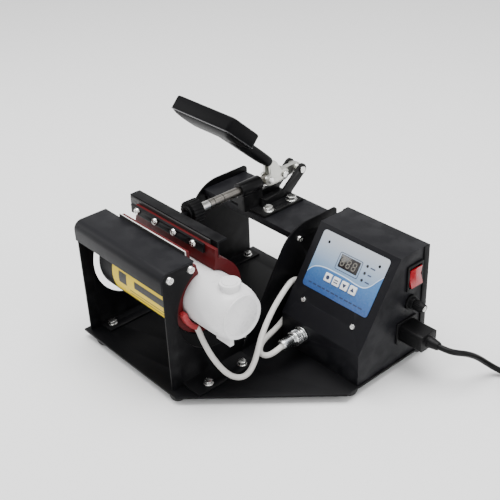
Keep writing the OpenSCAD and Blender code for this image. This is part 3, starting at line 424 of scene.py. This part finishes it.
def ring_outline(width, length, radius, steps=6):
    """Points round a rectangle with round corners, in its own plane."""
    points = []
    corners = [(1, 1, 0), (-1, 1, 90), (-1, -1, 180), (1, -1, 270)]
    for sx, sy, start in corners:
        for i in range(steps + 1):
            a = math.radians(start + 90 * i / steps)
            points.append((sx * (width / 2 - radius) + radius * math.cos(a),
                sy * (length / 2 - radius) + radius * math.sin(a)))
    return points


def cut_corners(points, times):
    """Rounds a route by cutting each corner, which keeps its two ends."""
    for _ in range(times):
        cut = [points[0]]
        for a, b in zip(points, points[1:]):
            cut += [a * 0.75 + b * 0.25, a * 0.25 + b * 0.75]
        points = cut + [points[-1]]
    return points


def evenly(points, step):
    """The same route with points a step apart."""
    kept = [points[0]]
    for p in points[1:]:
        while (p - kept[-1]).length >= step:
            kept.append(kept[-1] + (p - kept[-1]).normalized() * step)
    if (kept[-1] - points[-1]).length < step * 0.5:
        kept.pop()
    return kept + [points[-1]]


def cable(name, points, diameter, material):
    """A round cable as a curve of one open spline."""
    data = bpy.data.curves.new(name, "CURVE")
    data.dimensions = "3D"
    data.bevel_depth = diameter / 2
    data.bevel_resolution = 6
    data.use_fill_caps = True
    spline = data.splines.new("POLY")
    spline.points.add(len(points) - 1)
    for item, p in zip(spline.points, points):
        item.co = (*p, 1)
    spline.use_smooth = True
    data.materials.append(material)
    obj = bpy.data.objects.new(name, data)
    bpy.context.scene.collection.objects.link(obj)
    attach(obj, "root")
    return obj


# ---------- cords ----------

CORD_D = 6.6
CABLE_D = 6.4
CORD = [(334.5, 221, 47.5), (341, 221.5, 47.4), (348, 224, 46.5), (353, 230, 44.5), (356, 239, 40.5),
    (358, 249, 34), (360, 259, 26), (363, 268, 17), (369, 276, 9), (378, 281.5, 4.6),
    (389, 282.5, 3.5), (401, 278, 3.4), (412, 269, 3.4), (420, 262, 3.4)]
TAIL = [(471.5, 301, 23.4), (476.5, 314, 21.5), (480, 329, 16.5), (478, 342, 12.8),
    (472, 353, 12), (467, 358.6, 12), (461, 361, 12)]
CABLE = [(157, 38, 75), (158.5, 39.5, 70), (162, 40, 62), (168, 40.5, 53), (175, 42, 43),
    (183, 45.5, 32), (191, 50.5, 23), (198, 58, 18.5), (202, 67, 20), (202, 76, 28),
    (199, 85, 39), (192, 98, 52), (180, 125, 65), (170, 155, 75), (165, 171, 77),
    (163, 183, 71), (163, 187, 60), (163, 180, 47), (164, 166, 36), (168, 148, 29),
    (176, 125, 31), (182, 110, 34), (187, 99, 33), (194, 93, 30), (201, 96, 29),
    (205, 105, 32), (205.5, 116, 35.5), (205.5, 119.9, 35.5)]
COIL_CENTRE = (428, 300)
LANES = (41.3, 34.7)
FLOOR_Z = 3.4
TURN_STEP = 10
TURN_START = -90
WOUND = 1840
COIL_STAGES = [(0, 0, 0), (330, 1, 0), (660, 1, 1), (990, 0, 1), (1320, 0, 2), (1650, 1, 2)]
TIE_ANGLE = 200


def coil_lane(progress):
    """(radius, height) of the coil's cord after that many degrees of winding.

    Each stage is (start, lane, layer): the cord moves to that lane and layer in its first degrees.
    """
    change = 30
    lane, layer = 0.0, 0.0
    for (_, old_lane, old_layer), (start, new_lane, new_layer) in zip(COIL_STAGES, COIL_STAGES[1:]):
        done = min(1.0, max(0.0, (progress - start) / change))
        ease = done * done * (3 - 2 * done)
        lane += ease * (new_lane - old_lane)
        layer += ease * (new_layer - old_layer)
    return LANES[0] + (LANES[1] - LANES[0]) * lane, FLOOR_Z + CORD_D * layer


def around_coil(angle, radius, z):
    """A point that far round the coil, that far from its middle and that high."""
    a = math.radians(angle)
    return at(COIL_CENTRE[0] + radius * math.cos(a), COIL_CENTRE[1] + radius * math.sin(a), z)


def mains_route():
    """The cord from the connector to the coil, round its turns and out to the plug."""
    wound = [around_coil(turned + TURN_START, *coil_lane(turned))
        for turned in range(0, WOUND + 1, TURN_STEP)]
    lead_in = cut_corners([at(*p) for p in CORD[:-1]] + [around_coil(-97, 42.5, FLOOR_Z), wound[0]], 3)
    over = [wound[-1], around_coil(-40, 34.8, 18.6), around_coil(-28, 35.3, 21.9),
        around_coil(-16, 37.5, 23.4), around_coil(-7, 40.6, 23.6)]
    lead_out = cut_corners(over + [at(*p) for p in TAIL], 3)
    return lead_in[:-1] + wound + lead_out[1:]


def make_cords():
    """Both cords, each with the points of its route."""
    mains = evenly(mains_route(), 4 * MM)
    cord = cable("mains_cord_line", mains, CORD_D * MM, JACKET)
    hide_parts("mains_cord", "mains_coil")
    white = evenly(cut_corners([at(*p) for p in CABLE], 3), 2.5 * MM)
    lead = cable("heater_cable_line", white, CABLE_D * MM, CABLE_WHITE)
    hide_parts("heater_cable")
    return cord, mains, lead, white


def make_plug():
    """The moulded plug, with its pins in brass."""
    obj = rounded("mains_plug", 1.2)
    obj.data.materials.append(BRASS)
    pin_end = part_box("mains_plug")[0].x + 18.5 * MM
    for face in obj.data.polygons:
        if face.center.x < pin_end:
            face.material_index = 1
    return obj


def make_connector():
    """The moulded cord connector and the ribs of its strain relief."""
    body = rounded("mains_connector", 3.0, 4)
    axis = mid("power_inlet")
    relief = 14 * MM
    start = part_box("mains_connector")[1].x - relief
    rings = []
    for i in range(11):
        along = 1.2 * MM + i * 1.15 * MM
        radius = 6.5 - 2.1 * along / relief + (0.5 if i % 2 else 0.05)
        rings.append([Vector((start + along, axis.y + c, axis.z + d)) for c, d in circle(radius, 24)])
    ribs = add_piece("strain_relief_ribs", loft("strain_relief_ribs", rings), JACKET, "root",
        60)
    return body, ribs


def make_tie():
    """A strap over the coil's turns, its ends tucked beside them."""
    outline = [(30.2, 1.0), (30.2, 18.0), (31.6, 20.4), (34.5, 21.3), (41.5, 21.3), (44.4, 20.4),
        (45.8, 18.0), (45.8, 1.0)]
    path = cut_corners([Vector((r, z, 0)) for r, z in outline], 2)
    half, thick = 4.0, 0.7
    middle = Vector((38, 10, 0))
    a = math.radians(TIE_ANGLE)
    sideways = Vector((-math.sin(a), math.cos(a), 0))
    rings = []
    for p in path:
        q = p + (p - middle).normalized() * thick
        corners = ((p, -half), (p, half), (q, half), (q, -half))
        rings.append([around_coil(TIE_ANGLE, c.x, c.y) + sideways * w * MM for c, w in corners])
    return add_piece("coil_tie", loft("coil_tie", rings), FOOT, "root", 50)


cord, cord_points, lead, lead_points = make_cords()
plug = make_plug()
connector, relief_ribs = make_connector()
tie = make_tie()


# ---------- sheet metal, castings and fasteners ----------

EDGES = {
    "base_plate": 0.35, "stand_left_cheek": 0.35, "stand_right_cheek": 0.35, "stand_top_cover": 0.4,
    "heater_shell": 0.3, "pressure_rail": 0.4, "rail_clamp_strip": 0.5, "rail_bracket": 0.4,
    "bridge_left_cheek": 0.4, "bridge_right_cheek": 0.4, "bridge_plate": 0.5, "box_shell": 0.5,
    "box_rear_cover": 0.4, "clamp_body": 0.8, "rubber_feet": 0.8, "pressure_knob": 0.5,
    "plunger": 0.5, "toggle_link": 0.5, "handle_arm": 0.5, "plunger_pin": 0.5, "link_pin": 0.5,
    "ear_pin": 0.5, "stand_screws": 0.35, "base_bolts": 0.4, "clamp_bolts": 0.5, "bridge_screws": 0.35,
    "fixed_screws": 0.3, "rail_screws": 0.3, "box_screws": 0.25, "band_lead_boot": 1.6,
    "heater_band_fixed": 1.4, "fixed_insulator": 0.3, "rail_insulator": 0.3, "switch_frame": 0.5,
    "switch_rocker": 0.6, "fuse_holder": 0.5, "power_inlet": 0.6, "heater_socket": 0.4,
    "connector_body": 0.5, "blank_cup": 0.7, "key_set": 0.5, "key_temperature": 0.5, "key_down": 0.5,
    "key_up": 0.5, "display_module": 0.3, "power_relay": 0.8, "transformer": 0.4,
}
PANEL_SCREWS_ABOVE = 0.12
for part, width in EDGES.items():
    piece = rounded(part, width)
    if part == "box_screws":
        piece.data.materials.append(MOULDED)
        for face in piece.data.polygons:
            face.material_index = int(face.center.z > PANEL_SCREWS_ABOVE)
for part, obj in NODES.items():
    obj.data.materials.clear()
    obj.data.materials.append(MATERIAL_OF.get(part, PAINT))


# ---------- moving half of the silicone band ----------

def make_moving_band():
    """The band's half that opens, cut into slices across its height and baked in place."""
    obj = rounded("heater_band_moving", 1.4, rides=False)
    lo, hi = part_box("heater_band_moving")
    slices = 14
    bm = bmesh.new()
    bm.from_mesh(obj.data)
    for k in range(1, slices):
        height = lo.z + (hi.z - lo.z) * k / slices
        bmesh.ops.bisect_plane(bm, geom=bm.verts[:] + bm.edges[:] + bm.faces[:],
            plane_co=(0, 0, height), plane_no=(0, 0, 1))
    bm.to_mesh(obj.data)
    bm.free()
    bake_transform(obj)


make_moving_band()


# ---------- handle's grip ----------

def make_grip():
    """A padded paddle with a flat top, a rim bead lightened in colour as a painted highlight and a pillowed
    underside, and its tapered neck.
    """
    tilt = math.radians(42.5)
    root = at(76.5, 222, 173.5)
    across = Vector((1, 0, 0))
    along = Vector((0, -math.cos(tilt), math.sin(tilt)))
    out = Vector((0, math.sin(tilt), math.cos(tilt)))
    width, length, corner = 97, 47, 5.5
    middle, top = 111.0, 12.6

    def spot(u, v, w):
        return root + (along * u + across * v + out * w) * MM

    def slab(levels, least):
        """Rings of the paddle's outline: each level is (how far inside it, how far below the top)."""
        rings = []
        for inset, drop in levels:
            outline = ring_outline(width - 2 * inset, length - 2 * inset, max(corner - inset * 0.3, least))
            rings.append([spot(middle + y, x, top - drop) for x, y in outline])
        return rings

    body = slab([(7, 0.0), (3, 0.1), (1.0, 0.6), (0.3, 1.4), (0, 2.6), (0, 15.2), (0.3, 15.9), (1.0, 16.3),
        (1.5, 16.5), (1.9, 16.9), (3, 17.8), (5.5, 18.9), (9.5, 20.0), (13, 20.7), (17, 21.0)], 2.5)
    rim = slab([(0.8, 15.7), (-0.1, 15.9), (-0.3, 16.2), (-0.1, 16.6), (0.8, 16.9)], 0)
    stations = [(7.0, 15, 8, 3.5), (7.6, 17.5, 10, 4.4), (10, 19.6, 11.6, 5), (20, 21, 12.6, 5.4),
        (45, 22.5, 13, 5.6), (70, 24, 13, 5.6), (86, 27, 13, 5.6), (94, 34, 12, 5)]
    neck = [[spot(u, x, y) for x, y in ring_outline(w, h, r)] for u, w, h, r in stations]
    paddle = add_piece("grip_paddle", loft("grip_paddle", body), GRIP, "handle", 50)
    add_piece("grip_rim_painted_highlight", loft("grip_rim_painted_highlight", rim), RIM_PAINTED_HIGHLIGHT, "handle", 60)
    add_piece("grip_neck", loft("grip_neck", neck), GRIP, "handle", 50)
    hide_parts("handle_grip")


make_grip()


# ---------- round knurled pieces ----------

def knurled(name, node, profile, ribs, depth, material):
    """A piece turned about X, with ribs: profile is (place along the axis, radius, ribbed or not)."""
    centre = mid(node)
    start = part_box(node)[0].x
    rings = []
    for along, radius, cut in profile:
        ring = circle(radius, ribs * 4, depth if cut else 0)
        rings.append([Vector((start + along * MM, centre.y + c, centre.z + d)) for c, d in ring])
    return add_piece(name, loft(name, rings), material, BODY_OF[node], 40)


def make_fuse_cap():
    """The fuse holder's ribbed cap and its bright tip."""
    head = knurled("fuse_cap_knurl", "fuse_cap", [(27.9, 5.2, False), (28.0, 6.0, True), (35.5, 6.0, True),
        (36.6, 5.5, False), (37.5, 5.0, False), (39.9, 4.6, False), (40.0, 4.0, False)], 20, 0.45, MOULDED)
    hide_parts("fuse_cap")
    knurled("fuse_cap_tip", "fuse_cap", [(39.6, 3.2, False), (40.0, 3.1, False), (40.05, 2.6, False)],
        8, 0.0, ZINC)


def make_ring_nut():
    """The connector's union nut: a knurled band between two plain ends, open at its middle."""
    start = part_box("connector_ring")[0].y
    centre = mid("connector_ring")
    profile = [(0.0, 7.4, 0), (0.2, 8.2, 0), (1.0, 8.8, 0), (1.9, 8.8, 0), (2.1, 8.75, 1), (7.9, 8.75, 1),
        (8.1, 8.8, 0), (9.2, 8.8, 0), (9.9, 8.3, 0), (10.0, 7.3, 0), (10.0, 7.1, 0), (2.0, 7.1, 0),
        (2.0, 6.3, 0), (0.0, 6.3, 0)]
    rings = []
    for along, radius, cut in profile:
        ring = circle(radius, 120, 0.45 if cut else 0)
        rings.append([Vector((centre.x + c, start + along * MM, centre.z + d)) for c, d in ring])
    obj = add_piece("connector_nut", loft("connector_nut", rings, joined=True), PLATED, "connector_ring",
        40)
    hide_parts("connector_ring")


make_fuse_cap()
make_ring_nut()


# ---------- cup ----------

def make_cup_rim():
    """A raised ring and a low button on the cup's boss."""
    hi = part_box("blank_cup")[1]
    x, y = hi.x - 17 * MM, at(0, HEATER_Y, 0).y
    profile = [(11.2, -3.2), (11.6, -2.8), (11.6, -0.6), (11.2, 0.2), (9.9, 0.3), (9.6, -0.1), (9.6, -0.9),
        (8.4, -0.9), (8.4, 0.5), (8.0, 0.9), (0.5, 1.1)]
    rings = [[Vector((x + c, y + d, hi.z + rise * MM)) for c, d in circle(radius, 48)]
        for radius, rise in profile]
    add_piece("cup_boss_rim", loft("cup_boss_rim", rings), CERAMIC, "cup", 40)


def make_cup_end():
    """The cup's flat end: a disc with a crisp edge and a shallow ring pressed into it."""
    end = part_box("blank_cup")[1].x
    axis = at(0, HEATER_Y, HEATER_Z)
    profile = [(21.0, -1.5), (24.6, -1.5), (24.9, -1.1), (24.9, 0.35), (24.5, 0.7), (21.2, 0.7), (20.8, 0.35),
        (20.2, 0.35), (19.8, 0.65), (0.6, 0.75)]
    rings = [[Vector((end + rise * MM, axis.y + c, axis.z + d)) for c, d in circle(radius, 64)]
        for radius, rise in profile]
    add_piece("cup_end_disc", loft("cup_end_disc", rings), CERAMIC, "cup", 40)


make_cup_rim()
make_cup_end()


# ---------- printed marks and display ----------

DOWN = Vector((0, -math.cos(SLOPE), -math.sin(SLOPE)))
OUT = Vector((0, -math.sin(SLOPE), math.cos(SLOPE)))
FILM = 0.6
KEY_ROW = 52.0
KEY_X = (-17.4, -5.4, 6.6, 18.4)


def on_panel(x, s, lift=0.0):
    """A point of the sloping face: x from its middle, s down the slope, lift out of it."""
    return SLOPE_TOP + Vector((x, 0, 0)) * MM + DOWN * s * MM + OUT * lift * MM


def plate(name, outlines, low, high, material, body="root"):
    """Thin printed shapes on the panel, each an outline of (x, s) points."""
    bm = bmesh.new()
    for outline in outlines:
        bottom = [bm.verts.new(on_panel(x, s, low)) for x, s in outline]
        upper = [bm.verts.new(on_panel(x, s, high)) for x, s in outline]
        bm.faces.new(bottom[::-1])
        bm.faces.new(upper)
        for i in range(len(outline)):
            j = (i + 1) % len(outline)
            bm.faces.new((bottom[i], bottom[j], upper[j], upper[i]))
    return add_piece(name, from_bmesh(name, bm), material, body, 30)


def bar(x0, s0, x1, s1):
    """A rectangle's outline between two opposite corners."""
    return [(x0, s0), (x1, s0), (x1, s1), (x0, s1)]


def digit_segments(x, s, width, height, thick, lean):
    """The seven segments of a figure eight, as slanted bars."""
    half = thick / 2

    def slant(points):
        return [(px + (s + height / 2 - py) * lean, py) for px, py in points]

    def flat(cy):
        left, right = x + thick, x + width - thick
        return slant([(x + half, cy), (left, cy - half), (right, cy - half), (x + width - half, cy),
            (right, cy + half), (left, cy + half)])

    def upright(cx, top, low):
        upper, lower = top + thick * 0.8, low - thick * 0.8
        return slant([(cx, top + half * 0.4), (cx + half, upper), (cx + half, lower),
            (cx, low - half * 0.4), (cx - half, lower), (cx - half, upper)])

    centre = s + height / 2
    shapes = [flat(s + half), flat(centre), flat(s + height - half)]
    for cx in (x + half, x + width - half):
        shapes += [upright(cx, s + half, centre), upright(cx, centre, s + height - half)]
    return shapes


def make_display():
    """Three unlit digits and the border round their window."""
    lift = FILM + 0.02
    left, pitch, top = -10.6, 8.0, 24.6
    shapes = []
    for i in range(3):
        shapes += digit_segments(left + i * pitch, top, 5.4, 9.6, 1.15, 0.12)
    plate("display_digits", shapes, lift, lift + 0.06, DIGIT)
    middle_x, middle_s = 0.8, 29.9
    outer, inner = ring_outline(32.5, 19.8, 2.0), ring_outline(31.1, 18.4, 1.5)
    rings = [[on_panel(x + middle_x, middle_s + s, height) for x, s in outline]
        for outline, height in ((outer, FILM), (outer, FILM + 0.12), (inner, FILM + 0.12), (inner, FILM))]
    add_piece("display_border", loft("display_border", rings, joined=True), INK, "root", 40)


def make_marks():
    """Plain bars where the panel has print, so that no lettering is drawn."""
    side_x, foot_x, pitch = 27.8, -40, 6.6
    bars = [bar(side_x, s - 0.9, side_x + w, s + 0.5) for s, w in ((22.4, 6.4), (30.4, 5.0), (38.4, 6.0))]
    for i in range(12):
        start = foot_x + i * pitch
        bars.append(bar(start, 64.6, start + 4.2 + (i % 3) * 0.7, 66.0))
    plate("panel_bars", bars, FILM, FILM + 0.05, INK)


def make_key_marks():
    """A generic sign on each key: a dot, a bar, an arrow down and an arrow up."""
    cap = FILM + 1.2
    x0, x1, x2, x3 = KEY_X
    row, half, dot = KEY_ROW, 2.8, 2.4
    turns = [math.pi * i / 10 for i in range(20)]
    marks = {
        "key_set": [[(x0 + dot * math.cos(a), row + dot * math.sin(a)) for a in turns]],
        "key_temperature": [bar(x1 - half, row - 1.8, x1 + half, row - 0.6),
            bar(x1 - half, row + 0.8, x1 + half, row + 2.0)],
        "key_down": [[(x2 - half, row - 1.8), (x2 + half, row - 1.8), (x2, row + 2.6)]],
        "key_up": [[(x3 - half, row + 1.8), (x3, row - 2.6), (x3 + half, row + 1.8)]],
    }
    for body, outlines in marks.items():
        plate(body + "_mark", outlines, cap - 0.02, cap + 0.06, INK, body)


make_display()
make_marks()
make_key_marks()


# ---------- room and light ----------

def make_floor():
    """A pale floor just under the feet."""
    bm = bmesh.new()
    half, gap = 6.0, 0.0002
    bm.faces.new([bm.verts.new((x * half, y * half, -gap)) for x, y in ((-1, -1), (1, -1), (1, 1), (-1, 1))])
    mesh = from_bmesh("studio_floor", bm)
    n = Nodes("studio_white")
    n.shader.inputs["Base Color"].default_value = (0.90, 0.90, 0.90, 1)
    n.shader.inputs["Roughness"].default_value = 0.75
    mesh.materials.append(n.mat)
    floor = bpy.data.objects.new("studio_floor", mesh)
    bpy.context.scene.collection.objects.link(floor)


def area_light(name, place, target, size, power):
    """A rectangular white light at a place, turned to a target."""
    data = bpy.data.lights.new(name, "AREA")
    data.shape = "RECTANGLE"
    data.size, data.size_y = size
    data.energy = power
    light = bpy.data.objects.new(name, data)
    bpy.context.scene.collection.objects.link(light)
    light.location = place
    light.rotation_euler = (Vector(target) - Vector(place)).to_track_quat("-Z", "Y").to_euler()


def make_lights():
    """An even white sky and three softboxes."""
    world = bpy.data.worlds.new("studio_world")
    bpy.context.scene.world = world
    world.use_nodes = True
    backdrop = world.node_tree.nodes["Background"]
    backdrop.inputs["Color"].default_value = (1, 1, 1, 1)
    backdrop.inputs["Strength"].default_value = 0.85
    area_light("overhead_softbox", (-0.1, 0.1, 1.7), (0, 0, 0.1), (1.6, 1.2), 48)
    area_light("left_softbox", (-1.3, -0.9, 0.9), (0, 0, 0.12), (0.9, 0.9), 9)
    area_light("right_softbox", (1.5, 0.1, 0.8), (0.1, 0, 0.1), (0.8, 0.8), 9)


make_floor()
make_lights()
